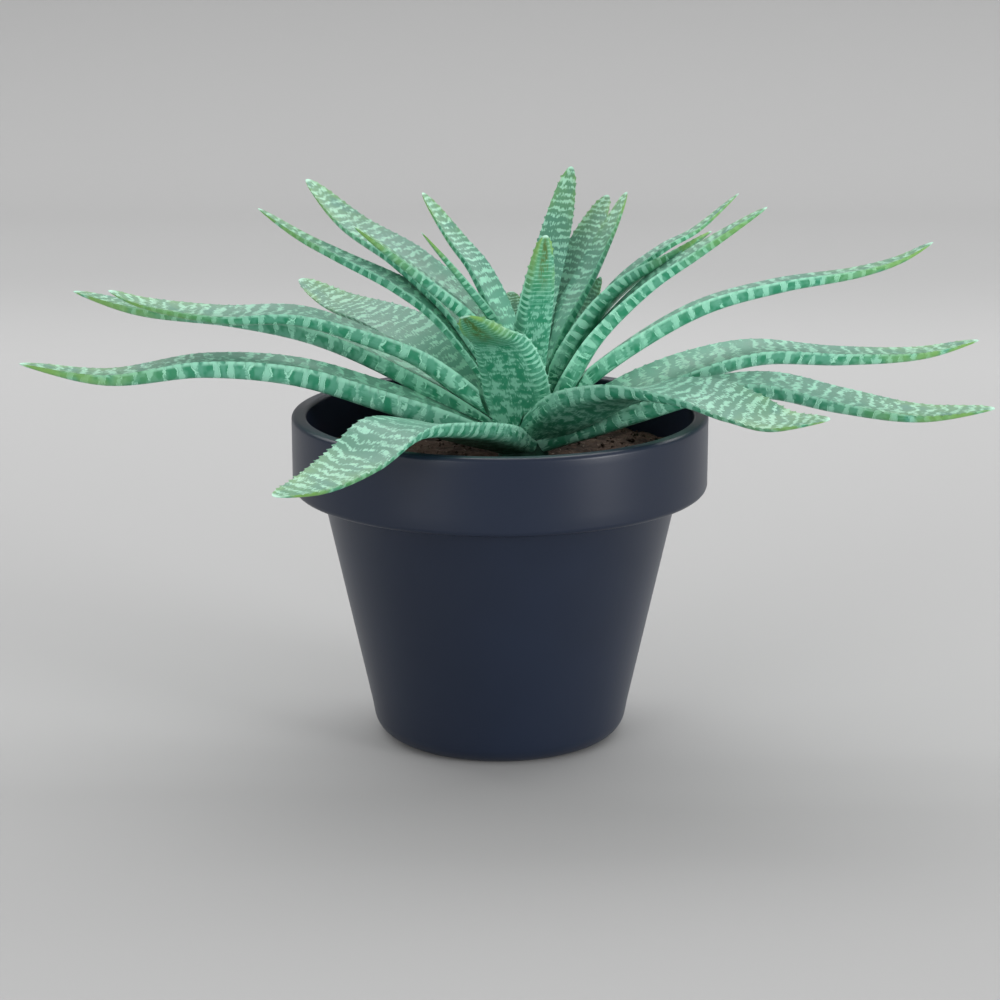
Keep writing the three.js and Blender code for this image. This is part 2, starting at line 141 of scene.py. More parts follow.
# One leaf: degrees, millimetres, and a spine as (reach, height over the soil)
Leaf = namedtuple("Leaf", "azimuth width thickness roll sweep foot spine")
LEAVES = [
    Leaf(183, 18, 8.2, (0, 0), 0, 0.8,
         [(6, 7), (22, 12.5), (48, 21.5), (76, 30), (107, 32.5), (139, 29), (168, 34)]),
    Leaf(162, 17, 7, (0, 0), 0, BASE_WIDTH_SHARE,
         [(7, 9), (16, 14), (44, 28), (73, 38), (103, 42), (141, 43), (167, 48)]),
    Leaf(175, 18, 5.5, (-22, 6), 0, BASE_WIDTH_SHARE,
         [(6, 12), (22, 24), (35, 33), (49, 39), (76, 47), (103, 47), (130, 51), (141, 55)]),
    Leaf(138, 20, 4.6, (36, 12), 0, BASE_WIDTH_SHARE,
         [(6, 7), (25, 22), (43, 33), (63, 39), (90, 43), (108, 49)]),
    Leaf(160, 12, 4.3, (16, -4), 0, BASE_WIDTH_SHARE,
         [(6, 14), (16, 32), (30, 47), (45, 56), (67, 65), (81, 71), (97, 80)]),
    Leaf(147, 19, 5, (5, 5), 0, BASE_WIDTH_SHARE,
         [(6, 18), (20, 43), (47, 63), (71, 74), (90, 88)]),
    Leaf(188, 14, 5, (0, 0), 0, BASE_WIDTH_SHARE,
         [(7, 14), (8, 27), (11, 39), (18, 48), (33, 61), (57, 80)]),
    Leaf(140, 11, 4, (0, 0), 0, BASE_WIDTH_SHARE,
         [(3, 18), (8, 42), (20, 62), (30, 71), (45, 86)]),
    Leaf(195, 7, 3, (0, 0), 0, BASE_WIDTH_SHARE,
         [(3, 17), (5, 34), (9, 45), (20, 60), (35, 78)]),
    Leaf(252, 24, 4.5, (0, 0), -11, 0.7,
         [(6, 10), (8, 24), (12, 34), (17, 42), (24, 47), (30, 53)]),
    Leaf(287, 13, 5, (0, 0), 0, BASE_WIDTH_SHARE,
         [(3, 17), (5, 31), (11, 46), (18, 62), (23, 79)]),
    Leaf(77, 13, 5, (0, 0), -8, BASE_WIDTH_SHARE,
         [(3, 19), (9, 37), (20, 55), (30, 72), (39, 94)]),
    Leaf(57, 15, 5, (0, 0), 0, BASE_WIDTH_SHARE,
         [(7, 16), (24, 48), (36, 64), (54, 83)]),
    Leaf(31, 11, 4.5, (0, 0), 8, BASE_WIDTH_SHARE,
         [(4, 18), (13, 41), (25, 57), (38, 75), (46, 86)]),
    Leaf(47, 10, 3, (0, 0), 0, BASE_WIDTH_SHARE,
         [(8, 12), (16, 26), (25, 39), (33, 48), (39, 57)]),
    Leaf(20, 8, 3, (6, 6), 0, BASE_WIDTH_SHARE,
         [(7, 17), (22, 42), (35, 58), (51, 69), (62, 74), (78, 86)]),
    Leaf(-5, 13, 5.2, (10, -4), 0, BASE_WIDTH_SHARE,
         [(8, 13), (16, 28), (25, 42.5), (42, 60), (57, 70.5), (71, 80), (80, 86)]),
    Leaf(14, 16, 5.4, (20, 5), 0, BASE_WIDTH_SHARE,
         [(7, 13), (14, 19.5), (34, 34), (62, 48.5), (90, 55), (119, 58.5), (134, 62.3), (146, 68)]),
    Leaf(10, 18, 6.6, (-18, 0), 0, BASE_WIDTH_SHARE,
         [(6, 8), (26, 15.5), (42, 22.5), (58, 28.5), (80, 33), (110, 31), (139, 31), (160, 35)]),
    Leaf(-12, 18, 6.8, (10, -8), 0, BASE_WIDTH_SHARE,
         [(6, 4), (19, 9.5), (43, 19), (63, 26), (83, 28), (106, 24), (132, 21), (156, 24)]),
    Leaf(-50, 24, 5.4, (30, -12), 33, 0.6,
         [(4, 8), (18, 16.5), (35, 25), (50, 30), (71, 31), (83, 28), (95, 25), (109, 27)]),
    Leaf(245, 25, 5.8, (-10, 4), -20, 0.6,
         [(5, 4), (25, 12), (56, 21), (81, 25), (99, 19), (119, 15), (134, 15)]),
    Leaf(97, 14, 4, (0, 0), 0, BASE_WIDTH_SHARE,
         [(7, 13), (15, 28), (24, 41), (34, 51)]),
    Leaf(115, 16, 5, (0, 0), 0, BASE_WIDTH_SHARE,
         [(8, 3), (35, 18), (65, 29), (96, 31)]),
    Leaf(82, 17, 5, (0, 0), 0, BASE_WIDTH_SHARE,
         [(8, 5), (35, 20), (66, 29), (100, 30)]),
    Leaf(6, 14, 4.5, (34, 22), 0, BASE_WIDTH_SHARE,
         [(7, 17), (16, 36), (26, 51), (36, 60), (49, 67), (63, 76)]),
]

# Fine section of a leaf: across in half widths, up in thicknesses
UPPER_ACROSS = [1.0, 0.88, 0.66, 0.34, 0.0, -0.34, -0.66, -0.88, -1.0]
UNDER_LINE = [
    (-1.0, 0.5), (-0.985, 0.32), (-0.955, 0.10), (-0.91, -0.12), (-0.83, -0.32), (-0.70, -0.45),
    (-0.50, -0.505), (-0.25, -0.52), (0.0, -0.525), (0.25, -0.52), (0.50, -0.505), (0.70, -0.45),
    (0.83, -0.32), (0.91, -0.12), (0.955, 0.10), (0.985, 0.32), (1.0, 0.5),
]

# Stage: the paper in millimetres, with its bend in degrees
PAPER_HALF_WIDTH = 6000.0
PAPER_FRONT = -3000.0
PAPER_BACK = 1248.0
PAPER_BEND = 257.0
PAPER_BEND_STEPS = range(6, 91, 6)
PAPER_TOP = 3000.0

# Where painted shade darkens the floor towards the backdrop, from its start to its full depth, in metres
# behind the pot
PAINTED_SHADE_SPAN = (0.61, 1.0)

# Camera: focal length in pixels of the image, sensor in millimetres, place in metres, dip in radians
FOCAL_PIXELS = 2585.0
SENSOR_WIDTH = 36.0
CAMERA_PLACE = (0.0, -0.85, 0.2985)
CAMERA_DIP = 0.251
CAMERA_REACH = (0.01, 30.0)

# Each light's size, place and target, in metres
LIGHTS = {
    "overhead": ((4.6, 1.331), (0.0, 1.23, 1.352), (0.0, -0.02, 0.0)),
    "front_right": ((0.551, 0.551), (1.304, -0.867, 0.291), (0.0, 0.891, 0.1)),
    "front_left": ((0.637, 0.637), (-0.922, -1.1, 0.285), (0.0, 0.5, 0.1)),
}


# Settings a user would change


class AloePotSettings(bpy.types.PropertyGroup):
    color: bpy.props.FloatVectorProperty(
        name="Pot colour", description="Base colour of the pot, linear", subtype="COLOR",
        size=3, min=0.0, max=1.0, default=(0.0095, 0.016, 0.034))
    roughness: bpy.props.FloatProperty(
        name="Roughness", description="How dull the pot's surface is", subtype="FACTOR",
        min=0.0, max=1.0, default=0.36)
    segments: bpy.props.IntProperty(
        name="Segments", description="Steps round the pot", min=24, max=512, default=192)


class AloeSoilSettings(bpy.types.PropertyGroup):
    color: bpy.props.FloatVectorProperty(
        name="Soil colour", description="Base colour of the soil, linear", subtype="COLOR",
        size=3, min=0.0, max=1.0, default=(0.085, 0.052, 0.038))
    crumbs: bpy.props.IntProperty(
        name="Crumbs", description="Loose crumbs on top of the soil", min=0, max=4000, default=900)
    seed: bpy.props.IntProperty(
        name="Seed", description="Random seed of the crumbs", min=0, default=7)


class AloeLeafSettings(bpy.types.PropertyGroup):
    tooth_height: bpy.props.FloatProperty(
        name="Tooth height", description="How far a tooth stands out", subtype="DISTANCE",
        unit="LENGTH", min=0.0, max=0.005, default=0.00095)
    tooth_pitch: bpy.props.FloatProperty(
        name="Tooth pitch", description="Mean distance between teeth", subtype="DISTANCE",
        unit="LENGTH", min=0.001, max=0.02, default=0.0031)
    bands: bpy.props.FloatProperty(
        name="Bands", description="Pale cross-bands on each leaf", min=4.0, max=80.0, default=26.0)
    mint: bpy.props.FloatVectorProperty(
        name="Band colour", description="Colour of the pale bands, linear", subtype="COLOR",
        size=3, min=0.0, max=1.0, default=(0.36, 0.78, 0.58))
    green: bpy.props.FloatVectorProperty(
        name="Leaf colour", description="Colour between the bands, linear", subtype="COLOR",
        size=3, min=0.0, max=1.0, default=(0.145, 0.44, 0.31))
    dark: bpy.props.FloatVectorProperty(
        name="Side colour", description="Colour of the dark blocks on the sides, linear", subtype="COLOR",
        size=3, min=0.0, max=1.0, default=(0.030, 0.26, 0.14))
    olive: bpy.props.FloatVectorProperty(
        name="Aged colour", description="Colour that the leaves turn to near the tip, linear",
        subtype="COLOR", size=3, min=0.0, max=1.0, default=(0.20, 0.42, 0.10))
    pale: bpy.props.FloatVectorProperty(
        name="Tip colour", description="Colour of the leaf's point and of the flecks near it, linear",
        subtype="COLOR", size=3, min=0.0, max=1.0, default=(0.52, 0.86, 0.68))
    seed: bpy.props.IntProperty(
        name="Seed", description="Random seed of the teeth", min=0, default=3)


class AloeStageSettings(bpy.types.PropertyGroup):
    floor: bpy.props.FloatVectorProperty(
        name="Floor colour", description="Colour of the floor near the pot, linear", subtype="COLOR",
        size=3, min=0.0, max=1.0, default=(0.481, 0.481, 0.481))
    # The backdrop colour is painted shade: the floor's far end and the backdrop get a darker colour for the
    # weaker light there
    backdrop: bpy.props.FloatVectorProperty(
        name="Backdrop colour", description="Colour of the floor's far end and of the backdrop, linear",
        subtype="COLOR", size=3, min=0.0, max=1.0, default=(0.409, 0.409, 0.409))
    overhead: bpy.props.FloatProperty(
        name="Overhead light", description="Power of the overhead light", subtype="POWER",
        unit="POWER", min=0.0, max=500.0, default=56.2)
    front_right: bpy.props.FloatProperty(
        name="Front right light", description="Power of the low light at the front right", subtype="POWER",
        unit="POWER", min=0.0, max=500.0, default=14.3)
    front_left: bpy.props.FloatProperty(
        name="Front left light", description="Power of the low light at the front left", subtype="POWER",
        unit="POWER", min=0.0, max=500.0, default=6.1)
    fill: bpy.props.FloatProperty(
        name="Fill", description="Strength of the even light from all sides", min=0.0, max=5.0, default=0.53)


# Small helpers


def lerp(a, b, t):
    return a + (b - a) * t


def blend(first, second, share):
    """Colour between two colours."""
    return tuple(lerp(a, b, share) for a, b in zip(first, second))


def shade(color, times):
    return tuple(times * c for c in color)


def smooth_step(edge, x):
    t = np.clip(x / edge, 0, 1)
    return t * t * (3 - 2 * t)


def mesh_object(name, points, faces, smooth=True):
    """Object from points in millimetres and faces as lists of point numbers."""
    mesh = bpy.data.meshes.new(name)
    mesh.from_pydata((np.asarray(points, float) * MM).tolist(), [], faces)
    mesh.validate()
    mesh.polygons.foreach_set("use_smooth", [smooth] * len(mesh.polygons))
    obj = bpy.data.objects.new(name, mesh)
    bpy.context.scene.collection.objects.link(obj)
    return obj


def dress(obj, material, slot, *nodes):
    """Material, body and the nodes a piece stands for. The slot argument is not used."""
    obj.data.materials.clear()
    obj.data.materials.append(material)
    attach(obj, "root")
    if nodes:
        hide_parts(*nodes)


class Recipe:
    """A material's node tree, with short calls for the nodes used here."""

    def __init__(self, name):
        self.material = bpy.data.materials.new(name)
        self.material.use_nodes = True
        self.tree = self.material.node_tree
        self.shader = self.tree.nodes["Principled BSDF"]

    def node(self, kind, inputs=(), **settings):
        made = self.tree.nodes.new(kind)
        for key, value in settings.items():
            setattr(made, key, value)
        for socket, value in inputs:
            self.put(made.inputs[socket], value)
        return made

    def put(self, socket, value):
        if isinstance(value, bpy.types.NodeSocket):
            self.tree.links.new(value, socket)
        elif socket.type == "RGBA":
            socket.default_value = (*value[:3], 1.0)
        else:
            socket.default_value = value

    def math(self, operation, *values):
        return self.node("ShaderNodeMath", enumerate(values), operation=operation).outputs[0]

    def times(self, a, b):
        return self.math("MULTIPLY", a, b)

    def total(self, first, *others):
        for other in others:
            first = self.math("ADD", first, other)
        return first

    def flip(self, value):
        """1 less the value."""
        return self.math("SUBTRACT", 1.0, value)

    def less_half(self, value, gain):
        """A value from 0 to 1 moved to lie round 0, times a gain."""
        return self.times(self.math("SUBTRACT", value, 0.5), gain)

    def band(self, value, low, high):
        """0 below low, 1 above high, smooth between."""
        made = self.node("ShaderNodeMapRange", [("Value", value), ("From Min", low), ("From Max", high)],
                         interpolation_type="SMOOTHSTEP")
        return made.outputs["Result"]

    def mix(self, factor, a, b):
        """Colour mix. The node keeps its colour sockets at 6 and 7, and its colour at output 2."""
        made = self.node("ShaderNodeMix", data_type="RGBA")
        self.put(made.inputs["Factor"], factor)
        self.put(made.inputs[6], a)
        self.put(made.inputs[7], b)
        return made.outputs[2]

    def mix_value(self, factor, a, b):
        made = self.node("ShaderNodeMix", [("Factor", factor)], data_type="FLOAT")
        self.put(made.inputs[2], a)
        self.put(made.inputs[3], b)
        return made.outputs[0]

    def vector(self, x, y, z):
        return self.node("ShaderNodeCombineXYZ", [(0, x), (1, y), (2, z)]).outputs[0]

    def noise(self, vector, scale, detail=2.0, roughness=0.5):
        made = self.node("ShaderNodeTexNoise",
                         [("Vector", vector), ("Scale", scale), ("Detail", detail), ("Roughness", roughness)])
        return made.outputs["Fac"]

    def bump(self, height, strength, distance):
        made = self.node("ShaderNodeBump",
                         [("Strength", strength), ("Distance", distance), ("Height", height)])
        self.put(self.shader.inputs["Normal"], made.outputs["Normal"])

    def position(self):
        return self.node("ShaderNodeTexCoord").outputs["Object"]

    def finish(self, color, roughness, specular=0.5):
        self.put(self.shader.inputs["Base Color"], color)
        self.put(self.shader.inputs["Roughness"], roughness)
        self.shader.inputs["Specular IOR Level"].default_value = specular
        return self.material


# Materials


def pot_material(settings):
    r = Recipe("pot_satin")
    grain = r.noise(r.position(), 900.0, 2.0)
    mottle = r.noise(r.position(), 18.0, 3.0)
    color = r.mix(r.band(mottle, 0.35, 0.65), tuple(settings.color), shade(settings.color, 1.12))
    r.bump(grain, 0.05, 0.0002)
    return r.finish(color, settings.roughness, specular=0.35)


def soil_material(settings):
    r = Recipe("soil_crumbly")
    at = r.position()
    coarse = r.noise(at, 120.0, 4.0, 0.6)
    fine = r.noise(at, 700.0, 3.0, 0.6)
    pale = (0.20, 0.15, 0.12)
    color = r.mix(r.band(coarse, 0.38, 0.6), shade(settings.color, 0.35), tuple(settings.color))
    color = r.mix(r.band(fine, 0.6, 0.72), color, pale)
    height = r.math("MULTIPLY_ADD", coarse, 0.7, fine)
    r.bump(height, 0.9, 0.0012)
    return r.finish(color, roughness=0.95, specular=0.2)


class LeafRecipe(Recipe):
    """Banded leaf, read from the maps of leaf_maps, with the fields that its faces share."""

    def __init__(self, settings):
        super().__init__("leaf_banded")
        skin, zones, tally = self.leaf_map("Skin"), self.leaf_map("Zone"), self.leaf_map("Count")
        self.across, self.along = self.times(skin[0], 100.0), self.times(skin[1], 100.0)
        self.zone, self.share = zones[0], zones[1]
        self.count, self.tint = self.times(tally[0], 10.0), tally[1]
        self.mint, self.green, self.dark = tuple(settings.mint), tuple(settings.green), tuple(settings.dark)
        self.olive, self.pale = tuple(settings.olive), tuple(settings.pale)
        self.deep = blend(self.dark, self.green, 0.6)
        self.under = self.band(self.zone, 1.4, 1.6)
        self.keel = self.math("ABSOLUTE", self.math("SUBTRACT", self.zone, 3.0))
        self.base = self.flip(self.band(self.share, 0.06, 0.42))
        self.tip = self.band(self.share, 0.62, 0.98)
        self.warp = self.grain(0.09, 0.06, 1.0)
        self.jag = self.grain(0.42, 0.30, 3.0)
        self.dash = self.grain(2.6, 0.62, 5.0, 2.0)
        self.streak = self.grain(2.3, 0.20, 7.0, 2.0)
        self.patch = self.grain(0.10, 0.13, 9.0)
        self.blot = self.grain(0.26, 0.30, 11.0)
        bend = self.total(self.less_half(self.warp, 1.8), self.less_half(self.jag, 1.1))
        turns = self.times(self.total(self.count, bend), 2 * math.pi)
        self.rows = self.times(self.math("SINE", turns), 0.085)

    def leaf_map(self, name):
        source = self.node("ShaderNodeUVMap", uv_map=name).outputs[0]
        return self.node("ShaderNodeSeparateXYZ", [(0, source)]).outputs

    def grain(self, per_mm_across, per_mm_along, seed, detail=1.0):
        at = self.vector(self.times(self.across, per_mm_across), self.times(self.along, per_mm_along), seed)
        return self.noise(at, 1.0, detail)

    def upper_face(self):
        """Broken rows of mint, drawn out into streaks towards the base, and where the flecks lie."""
        flecks = self.mix_value(self.total(0.2, self.times(self.base, 0.6)), self.dash, self.streak)
        row = self.total(self.times(flecks, 0.66), self.times(self.blot, 0.34), self.rows,
                         self.less_half(self.patch, 0.22), self.times(self.base, 0.04))
        fleck = self.band(row, 0.52, 0.565)
        outward = self.band(self.share, 0.25, 0.7)
        grey_patch = self.band(self.total(self.patch, self.less_half(self.tint, 0.3)), 0.35, 0.65)
        face = self.mix(grey_patch, self.green, blend(self.green, (0.22, 0.38, 0.30), 0.5))
        deep_patch = self.times(self.times(self.base, 0.45), self.band(self.jag, 0.35, 0.65))
        face = self.mix(deep_patch, face, self.deep)
        face = self.mix(self.times(outward, 0.85), face, shade(self.green, 0.55))
        bright = self.mix(self.band(self.blot, 0.4, 0.68), shade(self.mint, 0.82), self.mint)
        bright = self.mix(self.times(outward, 0.6), bright, shade(self.mint, 0.7))
        return self.mix(fleck, face, bright), fleck

    def side_wall(self):
        """Blocks between pale bars, each bar with a thin bright outline, blotched towards the base."""
        turns = self.times(self.total(self.count, self.less_half(self.warp, 1.4)), 2 * math.pi)
        ladder = self.total(self.math("COSINE", turns), self.less_half(self.dash, 1.0),
                            self.less_half(self.blot, 3.2))
        bar = self.band(ladder, 0.60, 0.85)
        outline = self.flip(self.band(self.math("ABSOLUTE", self.math("SUBTRACT", ladder, 0.45)), 0.08, 0.28))
        blotches = self.total(self.times(self.streak, 0.4), self.times(self.blot, 0.6), self.rows)
        side = self.mix(self.band(self.jag, 0.4, 0.62), self.deep, self.dark)
        side = self.mix(self.mix_value(self.base, bar, self.band(blotches, 0.51, 0.56)), side,
                        blend(self.green, self.mint, 0.62))
        return self.mix(self.times(outline, self.band(self.jag, 0.42, 0.54)), side, self.mint)

    def underside(self):
        """Blotches below, fine cross lines above."""
        bend = self.total(self.times(self.count, 1.5), self.less_half(self.warp, 2.0))
        lines = self.total(self.math("SINE", self.times(bend, 2 * math.pi)), self.less_half(self.dash, 2.2),
                           self.less_half(self.blot, 1.2))
        splotches = self.total(self.times(self.dash, 0.5), self.times(self.jag, 0.5),
                               self.times(self.rows, 0.4))
        marks = self.mix_value(self.band(self.share, 0.55, 0.75), self.band(splotches, 0.50, 0.55),
                               self.band(lines, 0.3, 0.9))
        bottom = self.mix(self.band(self.jag, 0.35, 0.65), self.dark, self.deep)
        return self.mix(self.times(marks, 0.85), bottom, blend(self.green, self.mint, 0.5))

    def aged(self, color, fleck):
        """Olive towards the tip, most on the margins and sides, a dark streak under it and a pale point."""
        upper_margin = self.times(self.band(self.math("ABSOLUTE", self.zone), 0.45, 0.98), 0.5)
        margin = self.mix_value(self.under, upper_margin, self.band(self.keel, 0.35, 0.7))
        amount = self.times(self.tip, self.total(0.32, self.times(margin, 0.68)))
        color = self.mix(self.times(amount, self.band(self.patch, 0.25, 0.55)), color, self.olive)
        middle = self.times(self.band(self.share, 0.66, 0.86), self.flip(self.band(self.keel, 0.12, 0.36)))
        broken = self.band(self.total(self.jag, self.dash), 0.85, 1.1)
        color = self.mix(self.times(self.times(middle, self.under), broken), color, shade(self.olive, 0.4))
        white = self.times(self.times(fleck, self.tip), self.flip(self.under))
        color = self.mix(self.times(white, 0.45), color, self.pale)
        return self.mix(self.band(self.share, 0.982, 0.996), color, self.pale)


def leaf_material(settings):
    r = LeafRecipe(settings)
    face, fleck = r.upper_face()
    below = r.mix(r.band(r.keel, 0.42, 0.56), r.underside(), r.side_wall())
    color = r.mix(r.under, face, below)
    rim = r.times(r.times(r.band(r.keel, 0.88, 0.97), r.under), r.band(r.jag, 0.32, 0.46))
    color = r.mix(rim, color, blend(r.green, r.mint, 0.85))
    color = r.aged(color, fleck)
    r.bump(r.dash, 0.12, 0.0003)
    return r.finish(color, roughness=0.42, specular=0.42)


def stem_material():
    r = Recipe("crown_green")
    at = r.position()
    streak = r.noise(at, 260.0, 3.0)
    color = r.mix(r.band(streak, 0.35, 0.65), (0.012, 0.055, 0.035), (0.03, 0.11, 0.07))
    return r.finish(color, roughness=0.7, specular=0.3)


def floor_material(settings):
    """Pale paper, painted a shade darker towards the backdrop: painted shade for the weaker light on the
    backdrop.
    """
    r = Recipe("floor_pale")
    away = r.node("ShaderNodeSeparateXYZ", [(0, r.position())]).outputs[1]
    color = r.mix(r.band(away, *PAINTED_SHADE_SPAN), tuple(settings.floor), tuple(settings.backdrop))
    return r.finish(color, roughness=0.9, specular=0.1)


# Pot


def body_radius(z):
    return lerp(BODY_FOOT_RADIUS, BODY_TOP_RADIUS, z / COLLAR_FOOT)


def corner(cx, cz, radius, start, end, steps):
    angles = [math.radians(lerp(start, end, i / steps)) for i in range(steps + 1)]
    return [(cx + radius * math.cos(a), cz + radius * math.sin(a)) for a in angles]


def pot_profile():
    """Outline of the wall from the foot up the outside, over the rim and down the inside to the floor."""
    inside = RIM_RADIUS - COLLAR_WALL
    return [
        *corner(body_radius(FOOT_ROUND) - FOOT_ROUND, FOOT_ROUND, FOOT_ROUND, -90, -12, 10),
        *[(body_radius(z), z) for z in BODY_STEPS],
        *corner(body_radius(COLLAR_FOOT) + CREASE_ROUND, COLLAR_FOOT - CREASE_ROUND, CREASE_ROUND,
                180, 90, 4),
        *corner(RIM_RADIUS - COLLAR_EDGE_ROUND, COLLAR_FOOT + COLLAR_EDGE_ROUND, COLLAR_EDGE_ROUND,
                -90, 0, 6),
        *[(RIM_RADIUS, z) for z in COLLAR_STEPS],
        *corner(RIM_RADIUS - RIM_ROUND, POT_HEIGHT - RIM_ROUND, RIM_ROUND, 0, 90, 6),
        *corner(inside + RIM_ROUND, POT_HEIGHT - RIM_ROUND, RIM_ROUND, 90, 180, 6),
        (inside, COLLAR_STEPS[1]),
        (inside, COLLAR_FOOT + LEDGE_RISE),
        (body_radius(COLLAR_FOOT) - BODY_WALL, COLLAR_FOOT),
        (body_radius(FLOOR_THICKNESS) - BODY_WALL, FLOOR_THICKNESS),
    ]


def ring_surface(profile, segments, center=(0.0, 0.0)):
    """Points and faces of a profile turned about Z."""
    angles = np.linspace(0, 2 * math.pi, segments, endpoint=False)
    points = [(center[0] + radius * math.cos(a), center[1] + radius * math.sin(a), z)
              for radius, z in profile for a in angles]
    faces = []
    for row in range(len(profile) - 1):
        low, high = row * segments, (row + 1) * segments
        for k in range(segments):
            n = (k + 1) % segments
            faces.append((low + k, low + n, high + n, high + k))
    return points, faces


def closed_surface(profile, segments, center):
    """Points and faces of a profile turned about Z, with a flat cap at both ends."""
    points, faces = ring_surface(profile, segments, center)
    last = (len(profile) - 1) * segments
    return points, [*faces, tuple(range(segments))[::-1], tuple(range(last, last + segments))]


class ALOE_OT_pot(bpy.types.Operator):
    """Build the fine pot with its collar, rim and drain holes"""

    bl_idname = "aloe.pot"
    bl_label = "Pot"

    def execute(self, context):
        settings = context.scene.aloe_pot
        profile = pot_profile()
        points, faces = ring_surface(profile, settings.segments)
        mesh_pot = mesh_object("fine_pot", points, faces)
        close_floor(mesh_pot, len(profile), settings.segments)
        cut_drains(mesh_pot)
        mesh_pot.data.set_sharp_from_angle(angle=SHARP_ANGLE)
        dress(mesh_pot, pot_material(settings), "pot", "pot")
        return {"FINISHED"}


def close_floor(obj, rows, segments):
    """Underside and floor of the pot, as two flat faces."""
    bm = bmesh.new()
    bm.from_mesh(obj.data)
    bm.verts.ensure_lookup_table()
    bm.faces.new([bm.verts[k] for k in range(segments)][::-1])
    bm.faces.new([bm.verts[(rows - 1) * segments + k] for k in range(segments)])
    bmesh.ops.recalc_face_normals(bm, faces=bm.faces)
    bm.to_mesh(obj.data)
    bm.free()


def cut_drains(obj):
    for i in range(DRAIN_COUNT):
        angle = 2 * math.pi * i / DRAIN_COUNT
        profile = [(DRAIN_RADIUS, z) for z in DRILL_ENDS]
        place = (DRAIN_CIRCLE * math.cos(angle), DRAIN_CIRCLE * math.sin(angle))
        drill = mesh_object("drill", *closed_surface(profile, DRILL_SEGMENTS, place), smooth=False)
        cut = obj.modifiers.new("drain", "BOOLEAN")
        cut.object = drill
        cut.operation = "DIFFERENCE"
        cut.solver = "EXACT"
        depsgraph = bpy.context.evaluated_depsgraph_get()
        done = bpy.data.meshes.new_from_object(obj.evaluated_get(depsgraph))
        obj.modifiers.clear()
        obj.data = done
        bpy.data.objects.remove(drill)


# Soil


def soil_height(x, y):
    waves = np.sin(x * 0.21 + 1.3) * np.cos(y * 0.27 - 0.4) + 0.6 * np.sin(x * 0.43 - y * 0.37)
    lumps = np.sin(x * 1.3 + 2 * np.sin(y * 0.9)) * np.sin(y * 1.1 + 1.7 * np.sin(x * 0.7))
    return SOIL_TOP + 0.48 * waves + 0.4 * lumps


class ALOE_OT_soil(bpy.types.Operator):
    """Build the soil's uneven top and its loose crumbs"""

    bl_idname = "aloe.soil"
    bl_label = "Soil"

    def execute(self, context):
        settings = context.scene.aloe_soil
        rng = random.Random(settings.seed)
        edge = RIM_RADIUS - COLLAR_WALL - SOIL_GAP
        segments, rings = SOIL_SEGMENTS, SOIL_RINGS
        points = [(0.0, 0.0, float(soil_height(0.0, 0.0)))]
        for ring in range(1, rings + 1):
            radius = edge * ring / rings
            for k in range(segments):
                a = 2 * math.pi * (k + 0.5 * (ring % 2)) / segments
                x, y = radius * math.cos(a), radius * math.sin(a)
                rough = rng.uniform(-SOIL_ROUGHNESS, SOIL_ROUGHNESS) if ring < rings else 0.0
                points.append((x, y, float(soil_height(x, y)) + rough))
        foot = len(points)
        bottom = FLOOR_THICKNESS + SOIL_GAP
        body = [(edge, COLLAR_FOOT + LEDGE_RISE + SOIL_GAP),
                (body_radius(COLLAR_FOOT) - BODY_WALL - SOIL_GAP, COLLAR_FOOT + SOIL_GAP),
                (body_radius(bottom) - BODY_WALL - SOIL_GAP, bottom)]
        for radius, z in body:
            for k in range(segments):
                a = 2 * math.pi * (k + 0.5 * (rings % 2)) / segments
                points.append((radius * math.cos(a), radius * math.sin(a), z))
        faces = [(0, 1 + k, 1 + (k + 1) % segments) for k in range(segments)]
        for ring in range(rings - 1 + len(body)):
            a0, b0 = 1 + ring * segments, 1 + (ring + 1) * segments
            for k in range(segments):
                n = (k + 1) % segments
                faces.append((a0 + k, b0 + k, b0 + n, a0 + n))
        last = foot + (len(body) - 1) * segments
        faces.append(tuple(last + k for k in range(segments))[::-1])
        crumb_points, crumb_faces = crumbs(rng, settings.crumbs, edge, len(points))
        soil = mesh_object("fine_soil", points + crumb_points, faces + crumb_faces)
        dress(soil, soil_material(settings), "soil", "soil")
        return {"FINISHED"}


def crumbs(rng, count, edge, first):
    """Small lumps sunk into the soil's top, as squashed octahedra."""
    points, faces = [], []
    shape = [(1, 0, 0), (0, 1, 0), (-1, 0, 0), (0, -1, 0), (0, 0, 1), (0, 0, -1)]
    sides = [(0, 1, 4), (1, 2, 4), (2, 3, 4), (3, 0, 4), (1, 0, 5), (2, 1, 5), (3, 2, 5), (0, 3, 5)]
    for _ in range(count):
        radius, angle = edge * math.sqrt(rng.random()) * CRUMB_EDGE, rng.uniform(0, 2 * math.pi)
        x, y = radius * math.cos(angle), radius * math.sin(angle)
        size = CRUMB_SMALLEST + CRUMB_RANGE * rng.random() ** 3
        turn = rng.uniform(0, math.pi)
        start = first + len(points)
        for px, py, pz in shape:
            px, py = px * rng.uniform(0.7, 1.3), py * rng.uniform(0.7, 1.3)
            points.append((
                x + size * (px * math.cos(turn) - py * math.sin(turn)),
                y + size * (px * math.sin(turn) + py * math.cos(turn)),
                float(soil_height(x, y)) + size * (0.25 + 0.75 * pz),
            ))
        faces += [tuple(start + i for i in side) for side in sides]
    return points, faces


# Crown

# Radius and height of the stem in the soil and the cone on top of it
CROWN_PROFILE = [
    (6.5, 73.0), (8.5, 76.0), (8.5, 95.9), (8.3, 97.0), (7.9, 98.2), (6.6, 101.0),
    (5.0, 104.5), (3.4, 108.0), (1.9, 110.2), (0.05, 111.0),
]
CROWN_SEGMENTS = 48


